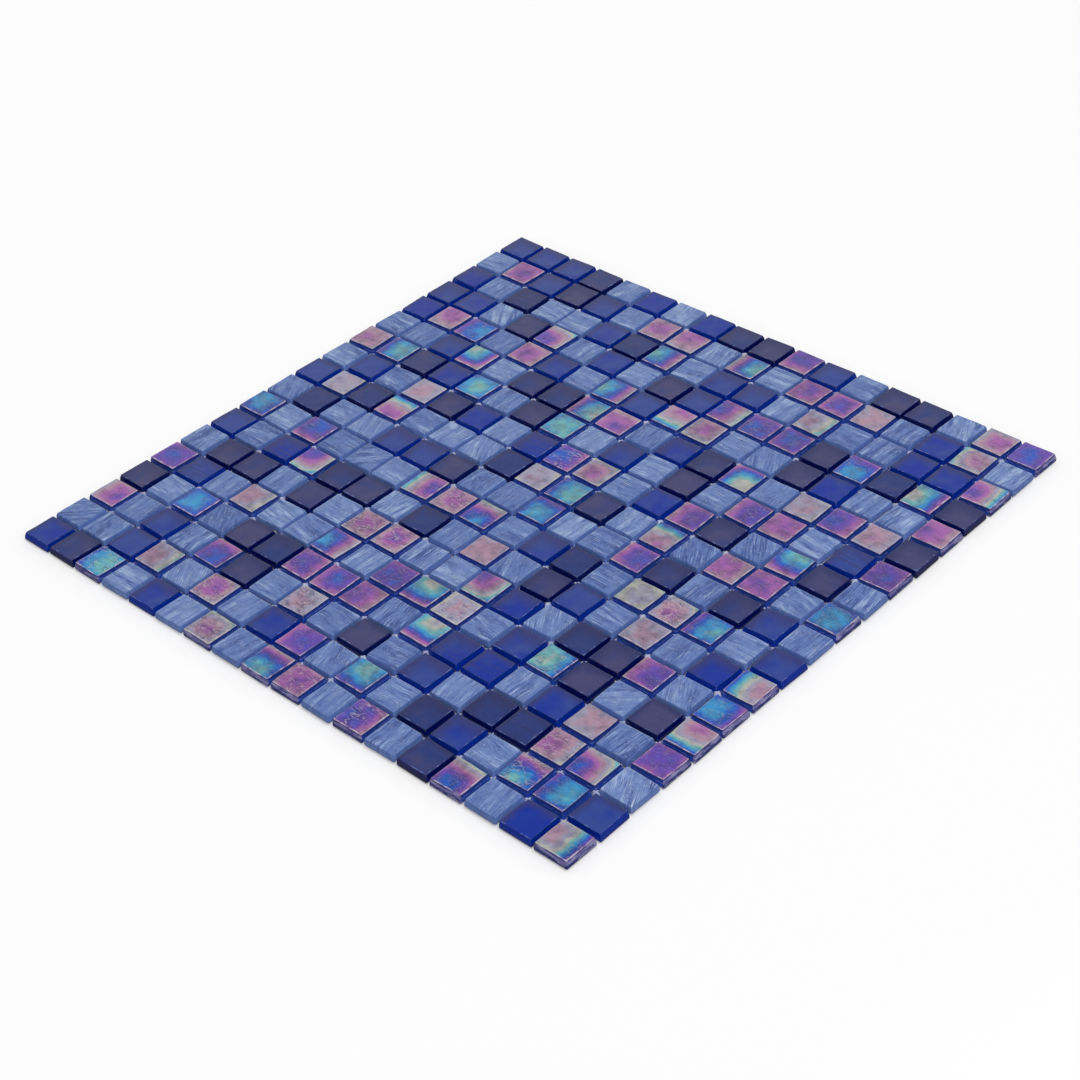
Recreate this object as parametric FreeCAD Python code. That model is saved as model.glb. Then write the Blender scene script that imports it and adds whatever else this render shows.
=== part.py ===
import FreeCAD, Part
import math
import os
import random

# Sheet of small square glass mosaic tiles, laid face up and held together on
# the back by glue dots at the crossings of the joints. All sizes in mm.
# The origin is the middle of the sheet's back, +Z points out of the faces.

# Glass tile, widest at its back
tile_side = 15.6
tile_face_side = 14.5
tile_thickness = 3.5
tile_corner_cut = 0.4

# Laying
joint_width = 1.129
largest_shift = 0.25
largest_turn_deg = 1.4
laying_seed = 18

# Glue dot
dot_radius = 4.0
dot_thickness = 0.5
dot_sides = 6

# One letter for each tile, first row at the +Y edge, first letter at the -X edge
laying_chart = [
    "CCCNMCMCNNVCMNNMRV",
    "MRCNCMRRMAMVVIMCRM",
    "CMNMMCNAMCCMIMMCCR",
    "CCMNVMCMNCRVVNANAN",
    "CRAMVCMACIRMMNCMMR",
    "MMCAMNNAVMCNAMIVIN",
    "RANCAMNAMCMNMVRMCV",
    "MCMINCMCVRMCVNMANM",
    "CINRMMMNIANMIMRVMA",
    "MNMMCCNMMAMMVNMNCM",
    "AMVMMMRRVMCNMIRAMC",
    "CMCRNNMNMIMNCMIMCI",
    "MNNMNMRVMMRCMNNVMA",
    "VCMIMMVMVAIMCANMNI",
    "NMAMNNVVVMACCMCIMV",
    "VMCMVNMIMNMCMNNRRM",
    "MMCIMRMCVMAMNCMAAC",
    "CNAMCMRMARMVMNVMCI",
]

# The kind of glass that each letter stands for
glass_kinds = {
    "C": "cobalt_tiles",
    "N": "navy_tiles",
    "M": "marbled_tiles",
    "R": "rose_pearl_tiles",
    "V": "violet_pearl_tiles",
    "A": "aqua_pearl_tiles",
    "I": "ivory_pearl_tiles",
}

tiles_per_side = len(laying_chart)
pitch = tile_side + joint_width


def grid_place(index):
    """Distance of a row or column of tiles from the middle of the sheet."""
    return (index - (tiles_per_side - 1) / 2) * pitch


def crossing_place(index):
    """Distance of a joint between two rows or columns from the middle."""
    return (grid_place(index) + grid_place(index + 1)) / 2


def cut_square(side, corner_cut, z):
    """Closed wire of a square with cut corners, level at height z."""
    half = side / 2
    inner = half - corner_cut
    outline = []
    for quarter in range(4):
        turn = math.radians(90 * quarter)
        for x, y in ((half, -inner), (half, inner)):
            corner_x = x * math.cos(turn) - y * math.sin(turn)
            corner_y = x * math.sin(turn) + y * math.cos(turn)
            outline.append(FreeCAD.Vector(corner_x, corner_y, z))
    return Part.makePolygon(outline + outline[:1])


def glass_tile():
    """One pressed tile with drafted walls, its back at height zero."""
    face_cut = tile_corner_cut * tile_face_side / tile_side
    back = cut_square(tile_side, tile_corner_cut, 0)
    face = cut_square(tile_face_side, face_cut, tile_thickness)
    return Part.makeLoft([back, face], True, True)


def glue_dot():
    """One dot of glue, pressed flat against the backs of four tiles."""
    outline = []
    for step in range(dot_sides + 1):
        turn = 2 * math.pi * step / dot_sides
        outline.append(FreeCAD.Vector(dot_radius * math.cos(turn), dot_radius * math.sin(turn), 0))
    disc = Part.Face(Part.makePolygon(outline))
    return disc.extrude(FreeCAD.Vector(0, 0, dot_thickness))


def laid_tiles():
    """Every tile in its place, as a list of solids for each kind of glass."""
    blank = glass_tile()
    hand = random.Random(laying_seed)
    laid = {kind: [] for kind in glass_kinds.values()}
    for row, letters in enumerate(laying_chart):
        for column, letter in enumerate(letters):
            tile = blank.copy()
            turn = hand.uniform(-largest_turn_deg, largest_turn_deg)
            tile.rotate(FreeCAD.Vector(0, 0, 0), FreeCAD.Vector(0, 0, 1), turn)
            x = grid_place(column) + hand.uniform(-largest_shift, largest_shift)
            y = -grid_place(row) + hand.uniform(-largest_shift, largest_shift)
            tile.translate(FreeCAD.Vector(x, y, dot_thickness))
            laid[glass_kinds[letter]].append(tile)
    return laid


def laid_dots():
    """A dot at every crossing where four tiles meet."""
    blank = glue_dot()
    dots = []
    for row in range(tiles_per_side - 1):
        for column in range(tiles_per_side - 1):
            dot = blank.copy()
            dot.translate(FreeCAD.Vector(crossing_place(column), crossing_place(row), 0))
            dots.append(dot)
    return dots


def save(solids, name):
    Part.makeCompound(solids).exportStep("parts/" + name + ".step")


os.makedirs("parts", exist_ok=True)
for kind, tiles in laid_tiles().items():
    save(tiles, kind)
save(laid_dots(), "glue_dots")
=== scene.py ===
import math
import random

import bpy
import numpy as np
from mathutils import Matrix, Vector, noise


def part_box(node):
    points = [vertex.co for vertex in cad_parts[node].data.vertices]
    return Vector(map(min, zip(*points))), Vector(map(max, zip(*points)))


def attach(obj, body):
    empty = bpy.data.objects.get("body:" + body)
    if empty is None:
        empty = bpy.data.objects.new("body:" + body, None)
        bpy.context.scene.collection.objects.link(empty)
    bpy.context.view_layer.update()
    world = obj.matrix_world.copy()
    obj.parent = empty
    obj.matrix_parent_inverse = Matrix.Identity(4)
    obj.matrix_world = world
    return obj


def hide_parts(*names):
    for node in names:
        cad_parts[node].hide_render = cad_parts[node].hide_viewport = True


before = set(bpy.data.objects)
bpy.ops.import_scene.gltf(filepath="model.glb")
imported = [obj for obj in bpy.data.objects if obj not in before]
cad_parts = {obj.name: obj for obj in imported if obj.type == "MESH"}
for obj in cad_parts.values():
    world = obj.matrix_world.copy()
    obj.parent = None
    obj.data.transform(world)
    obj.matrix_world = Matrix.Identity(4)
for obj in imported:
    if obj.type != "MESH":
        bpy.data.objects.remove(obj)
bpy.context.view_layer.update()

MM = 0.001

# The sheet, as the frame has it. Sizes are in mm, but dot_top and face_height
# are in metres.
tiles_per_side = 18
dot_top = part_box("glue_dots")[1].z
face_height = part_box("marbled_tiles")[1].z
tile_thickness = (face_height - dot_top) / MM
crossings_per_side = tiles_per_side - 1
sheet_side = 300.0
tile_side = 15.6
tile_face_side = 14.5
pitch = (sheet_side - tile_side) / crossings_per_side
joint_width = pitch - tile_side
dots_span = (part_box("glue_dots")[1].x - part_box("glue_dots")[0].x) / MM
dot_radius = (dots_span - (crossings_per_side - 1) * pitch) / 2

# Which way the streaks of each marbled tile run, seen from above: first row at
# the +Y edge, first letter at the -X edge. A dot stands for any other tile.
streak_chart = [
    "....|.|.....-..\\..",
    "-....-..|.-...|..|",
    ".|.--...-..|.-|...",
    "..\\..|.-..........",
    "...|..-....-\\..||.",
    "-|..-....|...|....",
    ".....|..|.-.-..-..",
    "-.-...|...-...\\..|",
    "....-|\\....|.\\..-.",
    "\\.-\\...||.|-..|..|",
    ".-.-/-...-..-...-.",
    ".-....|.|.\\..-.|..",
    "|..|.-..|-..\\...\\.",
    "..|.--.|...-.../..",
    ".-.\\.....|...|..|.",
    ".|.|..-.-.-.|....\\",
    "/|..\\.|..\\.-..-...",
    "...-.|.|..|.|..|..",
]
streak_turns = {"-": 0.0, "|": 90.0, "/": 38.0, "\\": 118.0}

# Towards which side of each pearl tile its film gets thinner, laid out in the
# same way: a digit as on a number pad where it thins a lot, a letter for left,
# right, top or bottom where it thins a little, and a dot for any other tile.
film_chart = [
    "..........b.......",
    ".......b.4........",
    ".......6....r....6",
    "....9.....6...t.6.",
    ".bl....6.2.......r",
    "...3...4t...7..r..",
    ".l...........l....",
    "........r...l..2..",
    "...8.....l..8.r...",
    ".........t..l.....",
    "..b...4.8......l..",
    "...3.............4",
    "..........3....l.r",
    "...r..6..2...r...2",
    "........r.2.......",
    "l...t..........r9.",
    "...r....l.b....8l.",
    "..l.....8..r..8..6",
]
film_turns = {"6": 0.0, "9": 45.0, "8": 90.0, "7": 135.0, "4": 180.0, "2": 270.0, "3": 315.0,
              "r": 0.0, "t": 90.0, "l": 180.0, "b": 270.0}

# Pearl tiles with a hammered face, by row and column
hammered_seats = {(7, 8), (10, 7), (10, 14), (12, 6), (12, 7), (13, 10), (13, 13), (15, 7),
                  (15, 15), (16, 5), (16, 15), (17, 2), (17, 6), (17, 9), (17, 11)}

# What the tiles of each kind are like. In mm: face is the face's width, foot
# the radius of the back's edge, rim that of the rim, corner that of the
# corners, pillow how far the face falls towards its rim, and ripple how high
# its waves are. Of the pearl film: phase is its thickness as a share of a full
# run of its colours, vary how far that strays from tile to tile, and fall how
# fast it thins towards the rim.
clear_form = {"foot": 0.18, "rim": 0.30, "corner": 0.45, "pillow": 0.03, "ripple": 0.03}
pearl_form = {"face": 14.35, "foot": 0.18, "rim": 0.18, "corner": 0.4, "pillow": 0.04, "ripple": 0.05}
no_film = {"phase": 0.0, "vary": 0.0, "fall": 0.0}
glass_looks = {
    "cobalt_tiles": {"slot": "cobalt_glass", "face": 14.35, **clear_form, **no_film},
    "navy_tiles": {"slot": "navy_glass", "face": 14.55, **clear_form, **no_film},
    "marbled_tiles": {"slot": "marbled_glass", "face": 14.7, "foot": 0.7, "rim": 0.45, "corner": 0.65,
                      "pillow": 0.12, "ripple": 0.07, **no_film},
    "rose_pearl_tiles": {"slot": "rose_pearl_glass", **pearl_form,
                         "phase": 0.26, "vary": 0.08, "fall": 0.0042},
    "violet_pearl_tiles": {"slot": "violet_pearl_glass", **pearl_form,
                           "phase": 0.41, "vary": 0.11, "fall": 0.0030},
    "aqua_pearl_tiles": {"slot": "aqua_pearl_glass", **pearl_form,
                         "phase": 0.70, "vary": 0.10, "fall": 0.0030},
    "ivory_pearl_tiles": {"slot": "ivory_pearl_glass", **pearl_form,
                          "phase": 1.05, "vary": 0.08, "fall": 0.0016},
}


def srgb(red, green, blue):
    """Linear colour of a colour written as it looks, 0 to 255."""
    linear = []
    for value in (red, green, blue):
        share = value / 255
        linear.append(share / 12.92 if share <= 0.04045 else ((share + 0.055) / 1.055) ** 2.4)
    return (*linear, 1.0)


# Camera, at the place from which the sheet was photographed
view_azimuth = math.radians(-44.77)
view_elevation = math.radians(37.06)
view_roll = math.radians(-4.46)
view_distance = 0.9159
view_target = Vector((0.02166, -0.02353, face_height))
view_lens = 76.74
view_sensor = 36.0


def add_camera():
    """A camera that looks down at the sheet, rolled a little."""
    data = bpy.data.cameras.new("camera")
    data.sensor_width = view_sensor
    data.lens = view_lens
    data.clip_start = 0.01
    camera = bpy.data.objects.new("camera", data)
    bpy.context.scene.collection.objects.link(camera)
    flat = math.cos(view_elevation)
    back = Vector((flat * math.cos(view_azimuth), flat * math.sin(view_azimuth), math.sin(view_elevation)))
    right = Vector((0, 0, 1)).cross(back).normalized()
    up = back.cross(right)
    tilted_right = math.cos(view_roll) * right + math.sin(view_roll) * up
    tilted_up = -math.sin(view_roll) * right + math.cos(view_roll) * up
    place = view_target + view_distance * back
    camera.matrix_world = Matrix((
        (tilted_right.x, tilted_up.x, back.x, place.x),
        (tilted_right.y, tilted_up.y, back.y, place.y),
        (tilted_right.z, tilted_up.z, back.z, place.z),
        (0, 0, 0, 1),
    ))
    bpy.context.scene.camera = camera


# Node materials

class Shader:
    """A material and short ways to add nodes to it."""

    def __init__(self, name):
        self.material = bpy.data.materials.new(name)
        self.material.use_nodes = True
        self.tree = self.material.node_tree
        self.surface = self.tree.nodes["Principled BSDF"]

    def set(self, **values):
        """Sets the surface's own values. An underscore stands for a space."""
        for name, value in values.items():
            self.surface.inputs[name.replace("_", " ")].default_value = value

    def join(self, source, target):
        """Feeds a socket from another one, or from a plain value."""
        if isinstance(source, bpy.types.NodeSocket):
            self.tree.links.new(source, target)
        else:
            target.default_value = source

    def drive(self, name, source):
        self.join(source, self.surface.inputs[name])

    def node(self, kind, **settings):
        made = self.tree.nodes.new(kind)
        for name, value in settings.items():
            setattr(made, name, value)
        return made

    def value(self, name):
        """The three parts of a mesh attribute."""
        read = self.node("ShaderNodeAttribute", attribute_name=name)
        parts = self.node("ShaderNodeSeparateXYZ")
        self.join(read.outputs["Vector"], parts.inputs[0])
        return parts.outputs[0], parts.outputs[1], parts.outputs[2]

    def vector(self, x, y, z):
        made = self.node("ShaderNodeCombineXYZ")
        for source, target in zip((x, y, z), made.inputs):
            self.join(source, target)
        return made.outputs[0]

    def math(self, operation, first, second=0.0):
        made = self.node("ShaderNodeMath", operation=operation)
        for source, target in zip((first, second), made.inputs):
            self.join(source, target)
        return made.outputs[0]

    def plus(self, first, second):
        return self.math("ADD", first, second)

    def minus(self, first, second):
        return self.math("SUBTRACT", first, second)

    def times(self, first, second):
        return self.math("MULTIPLY", first, second)

    def larger(self, first, second):
        return self.math("MAXIMUM", first, second)

    def size(self, source):
        return self.math("ABSOLUTE", source)

    def remap(self, source, low, high, to_low=0.0, to_high=1.0, smooth=True):
        made = self.node("ShaderNodeMapRange")
        made.interpolation_type = "SMOOTHSTEP" if smooth else "LINEAR"
        for name, value in (("Value", source), ("From Min", low), ("From Max", high),
                            ("To Min", to_low), ("To Max", to_high)):
            self.join(value, made.inputs[name])
        return made.outputs[0]

    def cloud(self, vector, scale, detail=2.0, roughness=0.5, distortion=0.0):
        """Noise about 0.5, so that a range such as 0.66 to 0.76 picks out its crests only."""
        made = self.node("ShaderNodeTexNoise")
        self.join(vector, made.inputs["Vector"])
        self.join(scale, made.inputs["Scale"])
        self.join(detail, made.inputs["Detail"])
        self.join(roughness, made.inputs["Roughness"])
        self.join(distortion, made.inputs["Distortion"])
        return made.outputs["Fac"]

    def mix(self, factor, first, second):
        made = self.node("ShaderNodeMix", data_type="RGBA")
        self.join(factor, made.inputs["Factor"])
        colours = [socket for socket in made.inputs if socket.type == "RGBA"]
        self.join(first, colours[0])
        self.join(second, colours[1])
        return [socket for socket in made.outputs if socket.type == "RGBA"][0]

    def ramp(self, factor, stops, interpolation="EASE"):
        made = self.node("ShaderNodeValToRGB")
        made.color_ramp.interpolation = interpolation
        elements = made.color_ramp.elements
        while len(elements) < len(stops):
            elements.new(1.0)
        for element, (position, colour) in zip(elements, stops):
            element.position = position
            element.color = colour
        self.join(factor, made.inputs[0])
        return made.outputs[0]

    def bump(self, height, distance, strength):
        made = self.node("ShaderNodeBump")
        self.join(height, made.inputs["Height"])
        self.join(distance, made.inputs["Distance"])
        self.join(strength, made.inputs["Strength"])
        self.join(made.outputs[0], self.surface.inputs["Normal"])


# Places on a tile, in its own mm: x and y from its middle, height from its back

# How far apart in the noise two tiles of unlike hue lie
seed_step = 90

# How far below the top the face still counts as flat, how far from the sheet's
# edge its outer walls start, and the ribs on a tile's back
face_dip = 0.04
sheet_edge_depth = 1.0
sheet_edge_blur = 0.3
rib_pitch = 1.5
rib_top = 0.12
rib_bottom = 0.02


def tile_spot(shader, x, y, hue, depth):
    """A place in the noise that no other tile shares."""
    return shader.vector(shader.plus(x, shader.times(hue, seed_step)), y, depth)


def streaked(shader, along, across, seed, stretch, **noise_settings):
    """Noise drawn out along a tile's streaks, the more so the smaller stretch is."""
    return shader.cloud(shader.vector(shader.times(along, stretch), across, seed), **noise_settings)


def line_at(shader, source, level, width):
    """1 where a value passes a level and 0 farther off, which draws a fine line."""
    return shader.remap(shader.size(shader.minus(source, level)), 0.0, width, 1.0, 0.0)


def near_side(shader, x, y):
    """How far towards the +X or the -Y side a place is, the two that the camera sees."""
    return shader.larger(x, shader.times(y, -1.0))


def far_side(shader, x, y):
    """The same towards the two sides that it doesn't see."""
    return shader.larger(y, shader.times(x, -1.0))


def edge_band(shader, reach, start, full, inside=0.0):
    """1 along the edge of a face. It starts and is full at so many mm from the edge."""
    return shader.remap(reach, tile_face_side / 2 - start, tile_face_side / 2 - full, inside, 1.0)


def face_share(shader, height, rim):
    """1 on the tile's flat face, 0 on its walls."""
    return shader.remap(height, tile_thickness - rim, tile_thickness - face_dip)


def outer_share(shader):
    """1 on the walls along the edge of the sheet, 0 on the walls inside the joints. The two get different
    painted light.
    """
    place = shader.node("ShaderNodeSeparateXYZ")
    shader.join(shader.node("ShaderNodeTexCoord").outputs["Object"], place.inputs[0])
    reach = shader.larger(shader.size(place.outputs[0]), shader.size(place.outputs[1]))
    edge = (sheet_side / 2 - sheet_edge_depth) * MM
    return shader.remap(reach, edge, edge + sheet_edge_blur * MM)


def back_ribs(shader, x, height):
    """Height of the fine ribs pressed into a tile's back."""
    wave = shader.math("SINE", shader.times(x, 2 * math.pi / rib_pitch))
    return shader.times(wave, shader.remap(height, rib_bottom, rib_top, 1.0, 0.0))


def wall_height(shader, spot, height, sway):
    """Height on a wall as a share of the tile's, made to wander a little along the wall."""
    wander = shader.times(shader.minus(shader.cloud(spot, scale=0.35), 0.5), sway)
    return shader.plus(shader.times(height, 1 / tile_thickness), wander)


# Clear glass

# Painted shade along the left and back sides of a face, where its far walls would
# show through the glass: how far in from the left side it reaches, in mm, on the
# tiles with the least and the most third mood value, how much slower it fades
# from the back side, and how far its border wanders
far_shade_widths = (2.5, 8.0)
back_shade_pace = 0.8
border_sway = 3.0

# How strongly each mark shows on the face, 0 to 1
clear_marks = {"ribs": 0.7, "scratches": 0.35, "lit edge": 0.6}


def painted_far_shade(shader, x, y, spot, reach):
    """Painted shade: 0 along the left and back sides of a face, where its far walls would show through the
    glass, 1 farther in.
    """
    to_left = shader.plus(x, tile_face_side / 2)
    to_back = shader.minus(tile_face_side / 2, y)
    near = shader.math("MINIMUM", to_left, shader.times(to_back, back_shade_pace))
    sway = shader.times(shader.minus(shader.cloud(spot, scale=0.2, detail=1.0), 0.5), border_sway)
    return shader.remap(shader.plus(near, sway), 0.0, reach)


def clear_glass(name, centre, warm_centre, margin_shade_and_ribs, walls, outer_walls):
    """Plain coloured glass: the face has painted shade along two sides for the depth of the tile, the walls
    its full colour.
    """
    shader = Shader(name)
    x, y, height = shader.value("place")
    along, across, seed = shader.value("grain")
    hue, depth, third_mood = shader.value("mood")
    spot = tile_spot(shader, x, y, hue, depth)

    slow = shader.cloud(spot, scale=0.11, detail=1.0)
    tone = shader.plus(shader.times(slow, 0.8), shader.times(depth, 0.5))
    middle = shader.mix(shader.remap(tone, 0.45, 0.85), centre, warm_centre)
    # Painted shade along the face's left and back sides, standing for its far walls seen through the glass;
    # the margin colour also tints the ribs
    reach = shader.remap(third_mood, 0.0, 1.0, *far_shade_widths)
    face = shader.mix(painted_far_shade(shader, x, y, spot, reach), margin_shade_and_ribs, middle)

    grain = streaked(shader, along, across, seed, 0.05, scale=0.9, detail=1.0)
    ribbed = shader.times(shader.remap(grain, 0.5, 0.66), shader.remap(hue, 0.75, 1.0))
    face = shader.mix(shader.times(ribbed, clear_marks["ribs"]), face, margin_shade_and_ribs)

    scratch_tint = srgb(120, 126, 176)
    scratch = streaked(shader, along, across, depth, 0.12, scale=3.5, roughness=0.6)
    face = shader.mix(shader.remap(scratch, 0.66, 0.76, 0.0, clear_marks["scratches"]), face, scratch_tint)

    lit_edge_tint = srgb(130, 146, 210)
    lit_edge = edge_band(shader, near_side(shader, x, y), 0.5, 0.3)
    broken = shader.remap(shader.cloud(spot, scale=0.35), 0.5, 0.66, 0.0, clear_marks["lit edge"])
    face = shader.mix(shader.times(lit_edge, broken), face, lit_edge_tint)

    # Wall colours: a painted glow lower down inside the joints, for light through the glass, and other
    # painted light on the outer walls along the sheet's edge
    share = wall_height(shader, spot, height, sway=0.08)
    wall = shader.mix(outer_share(shader), shader.ramp(share, walls), shader.ramp(share, outer_walls))
    shader.drive("Base Color", shader.mix(face_share(shader, height, rim=0.14), wall, face))
    shader.set(Roughness=0.16, Specular_IOR_Level=0.45)

    marks = shader.cloud(shader.vector(shader.times(x, 0.3), y, hue), scale=1.6, detail=3.0, roughness=0.7)
    relief = shader.plus(shader.times(slow, 2.0), shader.times(marks, 0.15))
    shader.bump(shader.plus(relief, back_ribs(shader, x, height)), distance=0.14 * MM, strength=0.6)
    return shader.material


def cobalt_glass():
    # Middle, warm middle, margin that also tints the ribs and carries the painted shade, then the walls in
    # the joints with their painted glow and the outer walls with their painted light
    return clear_glass("cobalt_glass", srgb(4, 46, 156), srgb(46, 70, 150), srgb(46, 54, 116), [
        (0.3, srgb(0, 52, 176)),
        (0.7, srgb(0, 44, 150)),
        (1.0, srgb(0, 36, 120)),
    ], [
        (0.1, srgb(0, 36, 128)),
        (0.6, srgb(0, 42, 146)),
        (1.0, srgb(0, 36, 134)),
    ])


def navy_glass():
    # Middle, warm middle, margin that also tints the ribs and carries the painted shade, then the walls in
    # the joints with their painted glow and the outer walls with their painted light
    return clear_glass("navy_glass", srgb(34, 54, 120), srgb(66, 66, 114), srgb(40, 46, 99), [
        (0.3, srgb(0, 24, 104)),
        (0.7, srgb(0, 14, 84)),
        (1.0, srgb(4, 14, 76)),
    ], [
        (0.1, srgb(26, 26, 62)),
        (0.6, srgb(30, 32, 86)),
        (1.0, srgb(36, 40, 96)),
    ])


# Marbled glass

# How much the streaks bend on the calmest and on the wildest tile
streak_bends = (0.4, 3.6)

# How strong the streaks are from place to place, and from tile to tile
patch_strengths = (0.45, 1.5)
tile_strengths = (0.6, 1.3)

# How far blotches and a tile's own tone move its colour along the streaks' ramp
blotch_part = 0.22
tone_part = 0.10

# How strongly each mark shows on the face, 0 to 1, and how much of the face's
# own colour the walls take
marbled_marks = {"lines": 0.35, "glints": 0.6, "edge highlight": 0.4}
face_on_walls = 0.25


def marbled_walls(shader, spot, height):
    """Colour of the walls: inside the joints painted lighter towards the foot, a painted glow for light
    through the glass; along the edge of the sheet painted shade at their foot and below the face.
    """
    share = wall_height(shader, spot, height, sway=0.12)
    inner = shader.ramp(share, [
        (0.3, srgb(116, 144, 216)),
        (0.7, srgb(96, 124, 192)),
        (1.0, srgb(80, 110, 176)),
    ])
    outer = shader.ramp(share, [
        (0.12, srgb(52, 70, 132)),
        (0.24, srgb(96, 118, 176)),
        (0.7, srgb(86, 112, 176)),
        (0.92, srgb(66, 92, 156)),
    ])
    return shader.mix(outer_share(shader), inner, outer)


def marbled_glass():
    """Milky glass with streaks of darker and paler blue."""
    shader = Shader("marbled_glass")
    x, y, height = shader.value("place")
    along, across, seed = shader.value("grain")
    hue, depth, third_mood = shader.value("mood")
    spot = tile_spot(shader, x, y, hue, depth)

    # Streaks, which bend more on some tiles and are stronger in some places
    swirl = shader.remap(third_mood, 0.6, 1.0, *streak_bends)
    sway = streaked(shader, along, across, seed, 0.8, scale=0.16, detail=1.0)
    bent = shader.plus(across, shader.times(shader.minus(sway, 0.5), swirl))
    broad = streaked(shader, along, bent, seed, 0.08, scale=0.3, detail=1.0)
    fine = streaked(shader, along, bent, seed, 0.06, scale=1.5, detail=3.0, roughness=0.7)
    streak = shader.plus(shader.times(broad, 0.4), shader.times(fine, 0.6))
    patches = shader.remap(shader.cloud(spot, scale=0.13, detail=1.0), 0.36, 0.62, *patch_strengths)
    strength = shader.times(patches, shader.remap(hue, 0.0, 1.0, *tile_strengths, smooth=False))
    streak = shader.times(shader.minus(streak, 0.5), strength)
    blotches = shader.cloud(spot, scale=0.45, detail=3.0, roughness=0.6, distortion=0.4)
    streak = shader.plus(shader.plus(streak, 0.5), shader.times(shader.minus(blotches, 0.5), blotch_part))
    streak = shader.plus(streak, shader.times(shader.minus(depth, 0.5), tone_part))
    face = shader.ramp(streak, [
        (0.36, srgb(66, 90, 154)),
        (0.46, srgb(94, 120, 182)),
        (0.56, srgb(118, 143, 197)),
        (0.66, srgb(156, 180, 220)),
    ], "LINEAR")

    # Pale and dark threads
    thread = streaked(shader, along, bent, hue, 0.05, scale=2.2, detail=1.0)
    for low, high, amount, tint in ((0.66, 0.72, 0.55, srgb(192, 206, 232)),
                                    (0.34, 0.29, 0.5, srgb(56, 80, 142))):
        shown = shader.times(shader.remap(thread, low, high), shader.times(strength, amount))
        face = shader.mix(shown, face, tint)

    # Short dark lines and glints, in patches
    patch = shader.cloud(shader.vector(along, across, hue), scale=0.16, detail=1.0)
    line_tint = srgb(52, 74, 132)
    chips = streaked(shader, along, bent, depth, 0.4, scale=2.0, detail=3.0, roughness=0.7, distortion=0.6)
    lines = shader.times(line_at(shader, chips, 0.5, 0.03), shader.remap(patch, 0.45, 0.65))
    face = shader.mix(shader.times(lines, marbled_marks["lines"]), face, line_tint)
    glint_tint = srgb(206, 216, 238)
    dashes = streaked(shader, along, bent, hue, 0.45, scale=2.6, detail=1.0)
    glints = shader.times(shader.remap(dashes, 0.64, 0.72), shader.remap(patch, 0.42, 0.6))
    face = shader.mix(shader.times(glints, marbled_marks["glints"]), face, glint_tint)

    # Painted highlight along the face's two far sides
    edge_highlight_tint = srgb(160, 182, 220)
    edge_highlight = edge_band(shader, far_side(shader, x, y), 0.5, 0.2)
    face = shader.mix(shader.times(edge_highlight, marbled_marks["edge highlight"]), face, edge_highlight_tint)

    wall = shader.mix(face_on_walls, marbled_walls(shader, spot, height), face)
    shader.drive("Base Color", shader.mix(face_share(shader, height, rim=0.35), wall, face))
    shader.set(Roughness=0.3, Specular_IOR_Level=0.35)
    relief = shader.plus(fine, shader.plus(broad, shader.times(lines, -0.4)))
    shader.bump(shader.plus(relief, back_ribs(shader, x, height)), distance=0.16 * MM, strength=0.7)
    return shader.material


# Pearl glass

# The colours that the pearl film runs through as it gets thicker
film_colours = [
    (0.00, srgb(174, 172, 198)),
    (0.12, srgb(192, 154, 176)),
    (0.27, srgb(180, 106, 184)),
    (0.41, srgb(110, 78, 188)),
    (0.54, srgb(32, 98, 208)),
    (0.67, srgb(58, 164, 224)),
    (0.79, srgb(120, 198, 200)),
    (0.90, srgb(198, 200, 188)),
    (1.00, srgb(174, 172, 198)),
]

# How far at most the film's thickness drifts over a face, as a share of a full
# run of its colours, and how far it is mottled on a smooth and a hammered tile
film_drift = 0.22
film_mottles = (0.02, 0.14)

# How strongly the marks show on the face and on the walls, 0 to 1, and how much
# a gloomy tile adds to its veil
pearl_marks = {"veil": 0.5, "speckles": 0.2, "glints": 0.65}
gloom_part = 0.25

# Height of the wrinkles on a smooth tile. On a hammered one it is 1 more.
smooth_relief = 0.2


def film_tint(shader, x, y, spot, spread, hammered):
    """The film's colour, by its thickness, which falls in rounded squares about its thickest place."""
    phase, middle_x, middle_y = shader.value("film")
    fourth_x = shader.math("POWER", shader.size(shader.minus(x, middle_x)), 4.0)
    fourth_y = shader.math("POWER", shader.size(shader.minus(y, middle_y)), 4.0)
    square = shader.math("SQRT", shader.plus(fourth_x, fourth_y))
    film = shader.minus(phase, shader.times(square, spread))
    drift = shader.cloud(spot, scale=0.16, detail=1.0)
    film = shader.plus(film, shader.times(shader.minus(drift, 0.5), film_drift))
    mottle = shader.cloud(spot, scale=0.4, detail=1.0, distortion=0.6)
    mottled = shader.remap(hammered, 0.0, 1.0, *film_mottles)
    film = shader.plus(film, shader.times(shader.minus(mottle, 0.5), mottled))
    return shader.ramp(shader.math("FRACT", film), film_colours)


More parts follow.
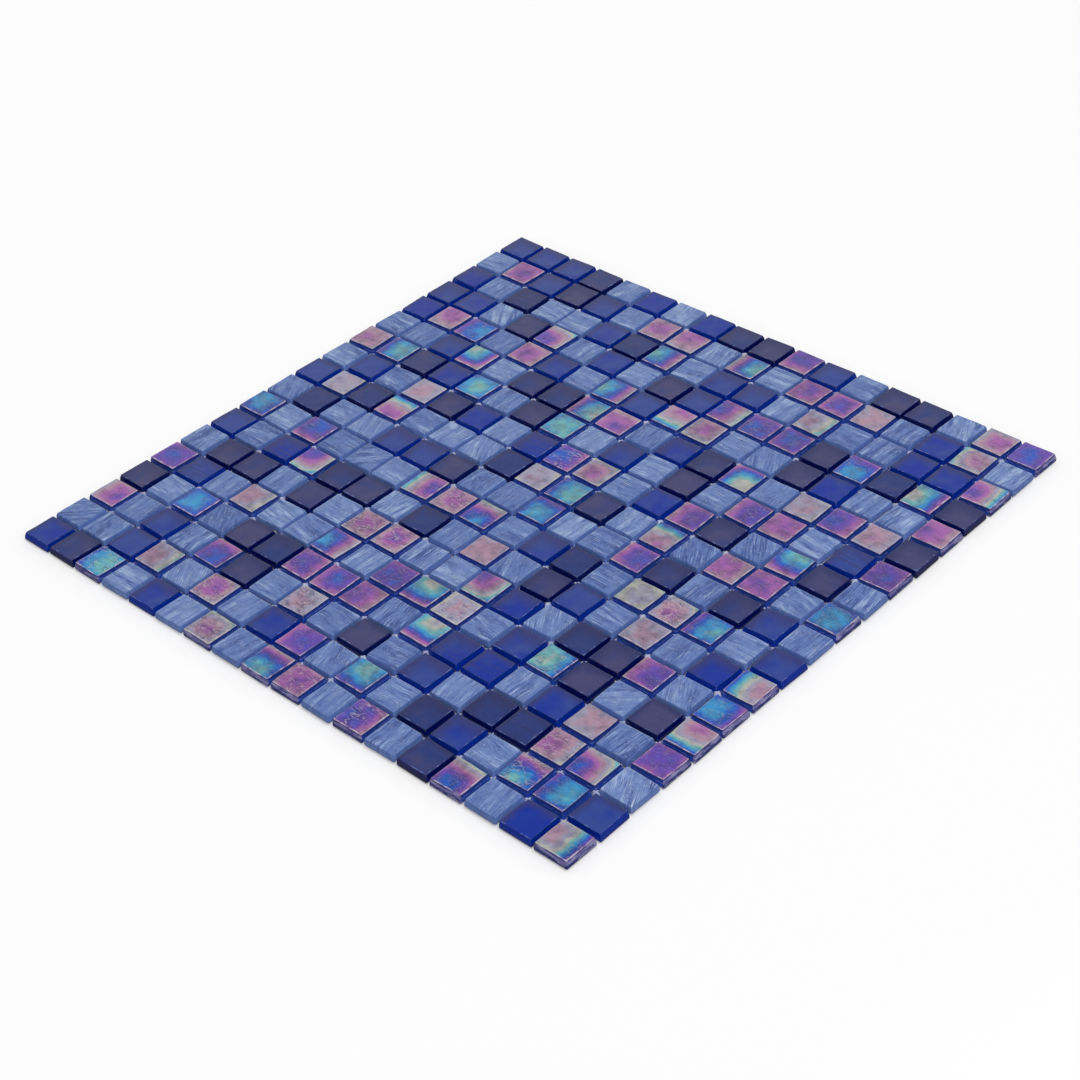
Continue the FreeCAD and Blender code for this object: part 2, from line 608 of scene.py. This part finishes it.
def pearl_walls(shader, x, y, height, spot, hue):
    """Colour of the walls: blue inside the joints, painted lighter towards the foot for light through the
    glass; along the edge of the sheet, a violet band of painted light between painted shade at the foot and
    below the face.
    """
    share = wall_height(shader, spot, height, sway=0.12)
    inner = shader.ramp(share, [
        (0.32, srgb(40, 90, 204)),
        (0.58, srgb(48, 84, 182)),
        (0.8, srgb(38, 62, 138)),
        (0.98, srgb(70, 74, 148)),
    ])
    outer = shader.ramp(share, [
        (0.05, srgb(24, 26, 88)),
        (0.14, srgb(60, 64, 136)),
        (0.44, srgb(60, 64, 136)),
        (0.54, srgb(118, 114, 178)),
        (0.82, srgb(124, 118, 180)),
        (0.92, srgb(52, 50, 120)),
    ])

    # Dark and pale layers along the outer walls
    level = shader.plus(shader.times(height, 0.9), shader.times(hue, 50))
    layers = shader.cloud(shader.vector(shader.times(x, 0.2), shader.times(y, 0.2), level), scale=1.0)
    for low, high, amount, tint in ((0.52, 0.62, 0.7, srgb(34, 42, 112)),
                                    (0.46, 0.38, 0.6, srgb(180, 172, 214))):
        outer = shader.mix(shader.remap(layers, low, high, 0.0, amount), outer, tint)

    # Glints half way up
    glint_tint = srgb(176, 176, 226)
    patch = shader.remap(shader.cloud(spot, scale=0.3, detail=1.0), 0.42, 0.6)
    glint = shader.times(shader.times(line_at(shader, share, 0.55, 0.06), patch), pearl_marks["glints"])
    return shader.mix(glint, shader.mix(outer_share(shader), inner, outer), glint_tint)


def pearl_glass(name):
    """Dark blue glass whose face has a pearl film, smooth or wrinkled as if hammered."""
    shader = Shader(name)
    x, y, height = shader.value("place")
    spread, hammered, gloom = shader.value("flow")
    hue, depth, _ = shader.value("mood")
    spot = tile_spot(shader, x, y, hue, depth)
    face = film_tint(shader, x, y, spot, spread, hammered)

    veil_tint = srgb(56, 46, 92)
    veil = shader.cloud(spot, scale=0.22)
    shade = shader.plus(veil, shader.times(gloom, gloom_part))
    face = shader.mix(shader.remap(shade, 0.42, 0.9, 0.0, pearl_marks["veil"]), face, veil_tint)

    speckle_tint = srgb(232, 220, 232)
    speckle = shader.cloud(spot, scale=1.8)
    face = shader.mix(shader.remap(speckle, 0.55, 0.76, 0.0, pearl_marks["speckles"]), face, speckle_tint)

    # Painted highlights on the wrinkles' crests and painted shade in their hollows, stronger where hammered
    folds = shader.vector(shader.times(x, 0.45), y, shader.times(hue, seed_step))
    wrinkle = shader.cloud(folds, scale=0.5, detail=1.0, distortion=0.7)
    for level, on_smooth, on_hammered, tint in ((0.52, 0.07, 0.42, srgb(232, 214, 222)),
                                                (0.44, 0.05, 0.45, srgb(60, 50, 120))):
        line = shader.times(line_at(shader, wrinkle, level, 0.05), shader.remap(veil, 0.42, 0.56))
        amount = shader.remap(hammered, 0.0, 1.0, on_smooth, on_hammered, smooth=False)
        face = shader.mix(shader.times(line, amount), face, tint)

    # Painted highlight along the rim, in patches, bright on the two near sides only
    edge_highlight_tint = srgb(232, 216, 230)
    edge_highlight = edge_band(shader, shader.larger(shader.size(x), shader.size(y)), 0.7, 0.4)
    near_side_highlight = edge_band(shader, near_side(shader, x, y), 0.7, 0.4, inside=0.2)
    patches = shader.remap(shader.cloud(spot, scale=0.3), 0.36, 0.64, 0.1, 0.9)
    face = shader.mix(shader.times(edge_highlight, shader.times(near_side_highlight, patches)), face, edge_highlight_tint)

    wall = pearl_walls(shader, x, y, height, spot, hue)
    shader.drive("Base Color", shader.mix(face_share(shader, height, rim=0.12), wall, face))
    shader.set(Roughness=0.18, Metallic=0.3, Coat_Weight=0.2, Coat_Roughness=0.06)
    relief = shader.times(wrinkle, shader.plus(hammered, smooth_relief))
    shader.bump(shader.plus(relief, back_ribs(shader, x, height)), distance=0.5 * MM, strength=0.7)
    return shader.material


def glue():
    """Clear glue that looks a little milky."""
    shader = Shader("clear_glue")
    place = shader.node("ShaderNodeTexCoord").outputs["Object"]
    milky = shader.cloud(place, scale=300.0)
    shader.drive("Base Color", shader.ramp(milky, [(0.3, srgb(158, 166, 204)), (0.7, srgb(206, 212, 236))]))
    shader.set(Roughness=0.3)
    shader.bump(milky, distance=0.1 * MM, strength=0.5)
    return shader.material


# Glass tiles, in mm

straight_steps = 10
arc_steps = 2
side_steps = straight_steps + 2 * arc_steps

# How far a tile of the scene stays inside the solid's back and face
back_gap = 0.03
outline_gap = 0.02
face_gap = 0.02
least_corner_radius = 0.15

# Directions in degrees at which the roundings of the rim and of the back's
# edge have a ring of points, and the rings on the wall between them, each by
# its height as a share of the tile's and by its share of the wall's flare
rim_turns = (30, 60, 90)
foot_turns = (0, 45, 90)
wall_rings = ((0.7, 0.45), (0.4, 0.85))

# How far the corners and the sides of a face stray from a true square, how
# far it may lie lower or tilt to a side, and how close its waves are per mm
corner_stray = 0.2
side_bow = 0.25
bow_pace = 0.13
largest_drop = 0.08
largest_tilt = 0.05
ripple_pace = 0.35
ripple_start = 0.8
pillow_power = 2.5

# How far tiles of one kind differ: shares of the rim and corner radii, of the
# ripples and of the wrinkles, the face's half width in mm, and the turn of
# streaks and film from their chart in degrees
rim_spread = (0.85, 1.15)
corner_spread = (0.8, 1.3)
ripple_spread = (0.3, 1.0)
plain_wrinkles = 0.3
face_spread = 0.12
streak_sway = 7
film_sway = 12

# How a film thins, where the chart has a digit, a letter or a dot: how far
# from the tile's middle it is thickest in mm, how fast it thins from there, as
# a share of the kind's own pace for a dot, and how much thicker it is there
strong_off, strong_pace, strong_gain = 6.0, (0.0040, 0.0052), 0.15
weak_off, weak_pace, weak_gain = 3.2, (0.0026, 0.0036), 0.04
plain_off, plain_pace, plain_gain = 1.8, (0.6, 1.5), 0.02

# Parts of the noise from which tiles take theirs
shape_range = 500
streak_range = 400
grain_range = 50
bow_axis_step = 7
bow_side_step = 3.7

first_tile_seed = 100
glue_seed = 7


def read_seats(node):
    """Row, column, middle and turn of each tile in a node, from its back's corners."""
    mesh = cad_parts[node].data
    points = np.empty(len(mesh.vertices) * 3)
    mesh.vertices.foreach_get("co", points)
    points = points.reshape(-1, 3) / MM
    points = points[points[:, 2] < points[:, 2].min() + tile_thickness / 2]
    points = np.unique(np.round(points, 3), axis=0)
    columns = np.round(points[:, 0] / pitch + (tiles_per_side - 1) / 2).astype(int)
    rows = np.round((tiles_per_side - 1) / 2 - points[:, 1] / pitch).astype(int)
    seats = []
    for row, column in sorted(set(zip(rows.tolist(), columns.tolist()))):
        corners = points[(rows == row) & (columns == column)][:, :2]
        middle = (corners.max(0) + corners.min(0)) / 2
        spokes = (corners - middle) @ np.array([1, 1j])
        turn = np.angle(-(spokes ** 4).sum()) / 4
        seats.append((row, column, middle, turn))
    return seats


def side_points(half, radius):
    """One side of a rounded square, from the middle of one corner to the middle of the next."""
    inner = half - radius
    arc = [math.radians(45 * step / arc_steps) for step in range(arc_steps, 0, -1)]
    xs = [inner + radius * math.cos(turn) for turn in arc]
    ys = [-inner - radius * math.sin(turn) for turn in arc]
    for step in range(straight_steps + 1):
        xs.append(half)
        ys.append(inner * (2 * step / straight_steps - 1))
    xs += [inner + radius * math.cos(turn) for turn in reversed(arc)]
    ys += [inner + radius * math.sin(turn) for turn in reversed(arc)]
    return np.array(xs), np.array(ys)


def ring_points(half, radius):
    """A whole rounded square, counter-clockwise from the middle of the +X -Y corner."""
    xs, ys = side_points(half, radius)
    side = (xs + 1j * ys)[:-1]
    ring = np.concatenate([side * 1j ** quarter for quarter in range(4)])
    return np.stack([ring.real, ring.imag], axis=1)


def face_points(half, radius):
    """A grid of points that fills the rounded square, and how far each is from the middle, 0 to 1."""
    xs, ys = side_points(half, radius)
    steps = ys / ys[-1]
    a, b = np.meshgrid(steps, steps, indexing="ij")
    reach = np.maximum(np.abs(a), np.abs(b))
    safe = np.where(reach == 0, 1, reach)
    on_x = np.abs(a) >= np.abs(b)
    slide = np.where(on_x, b, a) / safe
    out = np.interp(slide, steps, xs) * reach
    along = np.interp(slide, steps, ys) * reach
    x = np.where(on_x, np.sign(a) * out, along)
    y = np.where(on_x, along, np.sign(b) * out)
    return np.stack([x.ravel(), y.ravel()], axis=1), reach.ravel()


def tile_faces(rings):
    """Faces of one tile: its face grid, the rings of its rim and walls, and its back."""
    count = side_steps + 1
    faces = []
    for i in range(side_steps):
        for j in range(side_steps):
            first = i * count + j
            faces.append((first, first + count, first + count + 1, first + 1))
    edge = [side_steps * count + j for j in range(side_steps)]
    edge += [i * count + side_steps for i in range(side_steps, 0, -1)]
    edge += [j for j in range(side_steps, 0, -1)]
    edge += [i * count for i in range(side_steps)]
    loop = len(edge)
    upper = edge
    start = count * count
    for ring in range(rings):
        lower = [start + ring * loop + k for k in range(loop)]
        for k in range(loop):
            after = (k + 1) % loop
            faces.append((upper[k], lower[k], lower[after], upper[after]))
        upper = lower
    middle = start + rings * loop
    for k in range(loop):
        faces.append((upper[k], middle, upper[(k + 1) % loop]))
    return faces


def tile_points(rim, corner, face_half, foot):
    """Points of one tile about its own middle, its back at height zero, and how many rings they have."""
    top = tile_thickness - face_gap
    face, reach = face_points(face_half - rim, max(corner - rim, least_corner_radius))
    levels = [face]
    heights = [np.full(len(face), top)]

    def add_ring(half, radius, height):
        levels.append(ring_points(half, radius))
        heights.append(np.full(len(levels[-1]), height))

    for turn in rim_turns:
        lean = math.radians(turn)
        inset = rim * (1 - math.sin(lean))
        radius = max(corner - inset, least_corner_radius)
        add_ring(face_half - inset, radius, top - rim * (1 - math.cos(lean)))
    flare = tile_side / 2 - back_gap - face_half
    for share, out in wall_rings:
        add_ring(face_half + flare * out, corner, tile_thickness * share)
    for turn in foot_turns:
        lean = math.radians(turn)
        inset = foot * (1 - math.cos(lean))
        add_ring(face_half + flare - inset, corner, foot * (1 - math.sin(lean)))
    rings = len(levels) - 1
    points = np.concatenate(levels + [np.zeros((1, 2))])
    height = np.concatenate(heights + [np.zeros(1)])
    reach = np.concatenate([reach, np.ones(len(points) - len(reach))])
    return points, height, reach, rings


def shape_tile(points, height, reach, look, hand):
    """Makes one tile uneven, as pressed glass is: skewed face, tilt, pillow and ripples."""
    share = height / tile_thickness
    x, y = points[:, 0] / (tile_side / 2), points[:, 1] / (tile_side / 2)
    moved = points.copy()
    for sign_x in (-1, 1):
        for sign_y in (-1, 1):
            weight = (1 + sign_x * x) * (1 + sign_y * y) / 4 * share
            moved[:, 0] += weight * hand.uniform(-corner_stray, corner_stray)
            moved[:, 1] += weight * hand.uniform(-corner_stray, corner_stray)
    seed = hand.uniform(0, shape_range)
    for axis, other in ((0, 1), (1, 0)):
        start = seed + axis * bow_axis_step
        sides = np.sign(points[:, axis]) * bow_side_step
        places = points[:, other] * bow_pace
        bow = np.array([noise.noise((start, place, side)) for place, side in zip(places, sides)])
        moved[:, axis] += side_bow * bow * np.abs(points[:, axis]) / (tile_side / 2) * share
    drop = hand.uniform(0.0, largest_drop)
    tilt_x, tilt_y = hand.uniform(-largest_tilt, largest_tilt), hand.uniform(-largest_tilt, largest_tilt)
    lift = -drop - abs(tilt_x) - abs(tilt_y) + tilt_x * x + tilt_y * y
    lift -= look["pillow"] * reach ** pillow_power
    strength = look["ripple"] * hand.uniform(*ripple_spread)
    ripple = np.array([noise.noise((px * ripple_pace + seed, py * ripple_pace, 0.0)) for px, py in points])
    lift += strength * (ripple - 1.0) * np.clip((share - ripple_start) / (1 - ripple_start), 0, 1)
    raised = height + lift * share ** 2
    limit = tile_side / 2 - outline_gap
    return np.clip(moved, -limit, limit), raised


def add_mesh(name, points, faces, values, material):
    """A smooth mesh object with vector attributes, riding on the sheet."""
    mesh = bpy.data.meshes.new(name)
    mesh.from_pydata(points.tolist(), [], faces)
    for attribute, data in values.items():
        made = mesh.attributes.new(attribute, "FLOAT_VECTOR", "POINT")
        made.data.foreach_set("vector", data.astype(np.float32).ravel())
    mesh.polygons.foreach_set("use_smooth", [True] * len(mesh.polygons))
    mesh.materials.append(material)
    mesh.update()
    piece = bpy.data.objects.new(name, mesh)
    bpy.context.scene.collection.objects.link(piece)
    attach(piece, "root")
    return piece


def film_pattern(lean, look, hand):
    """Thickness of a tile's film where it is thickest, that place, and how fast it thins from there."""
    if lean == ".":
        off, pace, gain = hand.uniform(0, plain_off), hand.uniform(*plain_pace) * look["fall"], plain_gain
    elif lean.isdigit():
        off, pace, gain = strong_off, hand.uniform(*strong_pace), strong_gain
    else:
        off, pace, gain = weak_off, hand.uniform(*weak_pace), weak_gain
    turn = math.radians(film_turns.get(lean, hand.uniform(0, 360)) + hand.uniform(-film_sway, film_sway))
    phase = look["phase"] + gain + hand.uniform(-look["vary"], look["vary"])
    return phase, -off * math.cos(turn), -off * math.sin(turn), pace


def build_tiles(node, material, seed):
    """All tiles of one kind, as one mesh. What sets each tile apart goes with it as attributes."""
    look = glass_looks[node]
    hand = random.Random(seed)
    all_points, all_faces = [], []
    values = {"place": [], "mood": [], "grain": [], "film": [], "flow": []}
    start = 0
    for row, column, middle, turn in read_seats(node):
        rim = look["rim"] * hand.uniform(*rim_spread)
        corner = look["corner"] * hand.uniform(*corner_spread)
        face_half = look["face"] / 2 + hand.uniform(-face_spread, face_spread)
        points, height, reach, rings = tile_points(rim, corner, face_half, look["foot"])
        moved, raised = shape_tile(points, height, reach, look, hand)
        spin = np.array([[math.cos(turn), math.sin(turn)], [-math.sin(turn), math.cos(turn)]])
        placed = moved @ spin + middle
        all_points.append(np.column_stack([placed, raised]))
        all_faces += [tuple(start + index for index in face) for face in tile_faces(rings)]
        count = len(points)
        start += count

        chart_turn = streak_turns.get(streak_chart[row][column], 0.0)
        streak = math.radians(chart_turn + hand.uniform(-streak_sway, streak_sway))
        shift = hand.uniform(0, streak_range)
        along = points[:, 0] * math.cos(streak) + points[:, 1] * math.sin(streak) + shift
        across = -points[:, 0] * math.sin(streak) + points[:, 1] * math.cos(streak) + shift
        one = np.ones(count)
        values["place"].append(np.column_stack([points, height]))
        values["grain"].append(np.column_stack([along, across, one * hand.uniform(0, grain_range)]))
        values["mood"].append(np.outer(one, [hand.random(), hand.random(), hand.random()]))
        phase, middle_x, middle_y, spread = film_pattern(film_chart[row][column], look, hand)
        hammered = 1.0 if (row, column) in hammered_seats else hand.uniform(0.0, plain_wrinkles)
        values["film"].append(np.outer(one, (phase, middle_x, middle_y)))
        values["flow"].append(np.outer(one, (spread, hammered, hand.random())))
    points = np.concatenate(all_points)
    points[:, 2] += dot_top / MM
    values = {name: np.concatenate(data) for name, data in values.items()}
    piece = add_mesh(look["slot"] + "_tiles", points * MM, all_faces, values, material)
    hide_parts(node)


# Glue dots, in mm

dot_steps = 24

# The scene's dot as a share of the solid's width, so that it stays inside, how
# far it strays from round, and the range of its waves' starts
dot_share = 0.955
oval_share = 0.02
lobe_share = 0.015
wave_starts = 6

# Rings on the dot's underside and at its top as shares of its radius, the gap
# to the tiles above, and the height of its widest ring
under_shares = (0.6, 0.95)
top_share = 0.96
dot_gap = 0.04
dot_foot = 0.18

# How far glue creeps along a joint, and how high it may rise between tiles
glue_creep = 1.3
glue_rises = (0.3, 0.7, 1.2, 1.8, 2.4)

# The glue that has risen fills this share of the gap that the tiles leave. Its
# rings have shares of that width, and of the whole rise as their heights.
plug_share = 0.96
rise_rings = ((0.97, 0.45), (0.72, 0.82), (0.36, 0.98))


def crossing_reach(turn):
    """How far the glue can run from a crossing in one direction before it meets a tile's wall."""
    folded = abs((turn + math.pi / 4) % (math.pi / 2) - math.pi / 4)
    half = joint_width / 2
    tiny = 1e-6
    return min(half / max(math.sin(folded), tiny), half / max(math.cos(folded), tiny) + glue_creep)


def dot_faces(ring_count):
    """Faces of one dot: its underside, the rings above it, and its tip."""
    faces = []
    tip = 1 + ring_count * dot_steps
    for k in range(dot_steps):
        after = (k + 1) % dot_steps
        faces.append((0, 1 + after, 1 + k))
        for ring in range(ring_count - 1):
            low = 1 + ring * dot_steps
            high = low + dot_steps
            faces.append((low + k, low + after, high + after, high + k))
        last = tip - dot_steps
        faces.append((last + k, last + after, tip))
    return faces


def build_dots(material):
    """A flattened dot of glue at each crossing, which has risen a little into the joints."""
    hand = random.Random(glue_seed)
    turns = np.arange(dot_steps) * 2 * math.pi / dot_steps
    gap = np.array([crossing_reach(turn) for turn in turns])
    thickness = dot_top / MM
    all_points, all_faces = [], []
    start = 0
    for row in range(crossings_per_side):
        for column in range(crossings_per_side):
            x = (column - (crossings_per_side - 1) / 2) * pitch
            y = (row - (crossings_per_side - 1) / 2) * pitch
            oval = oval_share * np.sin(2 * turns + hand.uniform(0, wave_starts))
            lobes = lobe_share * np.sin(3 * turns + hand.uniform(0, wave_starts))
            disc = dot_radius * dot_share * (1 + oval + lobes)
            rise = hand.choice(glue_rises)
            plug = gap * plug_share
            top = thickness - dot_gap
            rings = [(disc * share, 0.0) for share in under_shares]
            rings += [(disc, dot_foot), (disc * top_share, top), (plug, top)]
            rings += [(plug * share, thickness + rise * level) for share, level in rise_rings]
            points = [(0.0, 0.0, 0.0)]
            for radius, height in rings:
                for k in range(dot_steps):
                    points.append((radius[k] * math.cos(turns[k]), radius[k] * math.sin(turns[k]), height))
            points.append((0.0, 0.0, thickness + rise))
            all_faces += [tuple(start + index for index in face) for face in dot_faces(len(rings))]
            start += len(points)
            all_points.append(np.array(points) + (x, y, 0.0))
    piece = add_mesh("glue_blobs", np.concatenate(all_points) * MM, all_faces, {}, material)
    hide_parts("glue_dots")


# Floor and light. Strengths are shares of full white, lengths are in metres.

floor_side = 60.0
floor_depth = 0.0003
floor_grey = 0.80
floor_in_glass = 0.16

# What the camera sees the floor lifted by, at distances from the spot below
# the lamp, so that the paper looks white all over
spot_below_lamp = (0.714, -0.179, 0.0)
lift_reach = 4.0
lift_steps = [(0.45, 0.205), (1.25, 0.393), (1.83, 0.485), (3.0, 0.53)]

# The room's walls as light, to the camera, and in reflections, where they
# get darker between two heights
room_light = 0.55
room_white = 1.0
room_in_glass_low, room_in_glass_high = 0.70, 0.28
darkening_start, darkening_end = 0.50, 0.72


def add_floor():
    """Pale paper: white for the camera, dim where the glass mirrors it."""
    bpy.ops.mesh.primitive_plane_add(size=floor_side, location=(0, 0, -floor_depth))
    floor = bpy.context.object
    floor.name = "floor"
    shader = Shader("floor_paper")
    shader.set(Base_Color=(floor_grey, floor_grey, floor_grey, 1.0), Roughness=0.9, Specular_IOR_Level=0.1)
    rays = shader.node("ShaderNodeLightPath")
    away = shader.node("ShaderNodeVectorMath", operation="DISTANCE")
    shader.join(shader.node("ShaderNodeTexCoord").outputs["Object"], away.inputs[0])
    away.inputs[1].default_value = spot_below_lamp
    share = shader.times(away.outputs["Value"], 1 / lift_reach)
    stops = [(distance / lift_reach, (level, level, level, 1.0)) for distance, level in lift_steps]
    lift = shader.ramp(share, stops, "LINEAR")
    glow = shader.node("ShaderNodeEmission")
    shader.join(shader.times(rays.outputs["Is Camera Ray"], lift), glow.inputs["Strength"])
    both = shader.node("ShaderNodeAddShader")
    shader.join(shader.surface.outputs[0], both.inputs[0])
    shader.join(glow.outputs[0], both.inputs[1])
    dim = shader.node("ShaderNodeEmission")
    shader.join(floor_in_glass, dim.inputs["Strength"])
    choose = shader.node("ShaderNodeMixShader")
    shader.join(rays.outputs["Is Glossy Ray"], choose.inputs[0])
    shader.join(both.outputs[0], choose.inputs[1])
    shader.join(dim.outputs[0], choose.inputs[2])
    shader.join(choose.outputs[0], shader.tree.nodes["Material Output"].inputs["Surface"])
    floor.data.materials.append(shader.material)


def add_world():
    """A white room: even for the camera and for diffuse light, darker higher up in reflections."""
    world = bpy.data.worlds.new("studio")
    bpy.context.scene.world = world
    world.use_nodes = True
    tree = world.node_tree
    background = tree.nodes["Background"]
    background.inputs["Color"].default_value = (1, 1, 1, 1)
    rays = tree.nodes.new("ShaderNodeLightPath")
    direction = tree.nodes.new("ShaderNodeTexCoord")
    parts = tree.nodes.new("ShaderNodeSeparateXYZ")
    tree.links.new(direction.outputs["Generated"], parts.inputs[0])
    fade = tree.nodes.new("ShaderNodeMapRange")
    for name, value in (("From Min", darkening_start), ("From Max", darkening_end),
                        ("To Min", room_in_glass_low), ("To Max", room_in_glass_high)):
        fade.inputs[name].default_value = value
    tree.links.new(parts.outputs[2], fade.inputs["Value"])
    in_glass = tree.nodes.new("ShaderNodeMix")
    tree.links.new(rays.outputs["Is Glossy Ray"], in_glass.inputs["Factor"])
    in_glass.inputs["A"].default_value = room_light
    tree.links.new(fade.outputs[0], in_glass.inputs["B"])
    for_camera = tree.nodes.new("ShaderNodeMix")
    tree.links.new(rays.outputs["Is Camera Ray"], for_camera.inputs["Factor"])
    tree.links.new(in_glass.outputs["Result"], for_camera.inputs["A"])
    for_camera.inputs["B"].default_value = room_white
    tree.links.new(for_camera.outputs["Result"], background.inputs["Strength"])


def add_softbox(name, direction, distance, size, power):
    """A square lamp that faces the middle of the sheet."""
    data = bpy.data.lights.new(name, "AREA")
    data.shape = "SQUARE"
    data.size = size
    data.energy = power
    lamp = bpy.data.objects.new(name, data)
    bpy.context.scene.collection.objects.link(lamp)
    lamp.location = Vector(direction).normalized() * distance
    lamp.rotation_euler = (-lamp.location).to_track_quat("-Z", "Y").to_euler()


add_camera()
add_floor()
add_world()
add_softbox("key_softbox", direction=(0.6, -0.15, 1.0), distance=1.4, size=1.0, power=9.0)

makers = {"cobalt_tiles": cobalt_glass, "navy_tiles": navy_glass, "marbled_tiles": marbled_glass}
for order, node in enumerate(glass_looks):
    material = makers[node]() if node in makers else pearl_glass(glass_looks[node]["slot"])
    build_tiles(node, material, first_tile_seed + order)
build_dots(glue())

bpy.context.scene.view_settings.view_transform = "Standard"
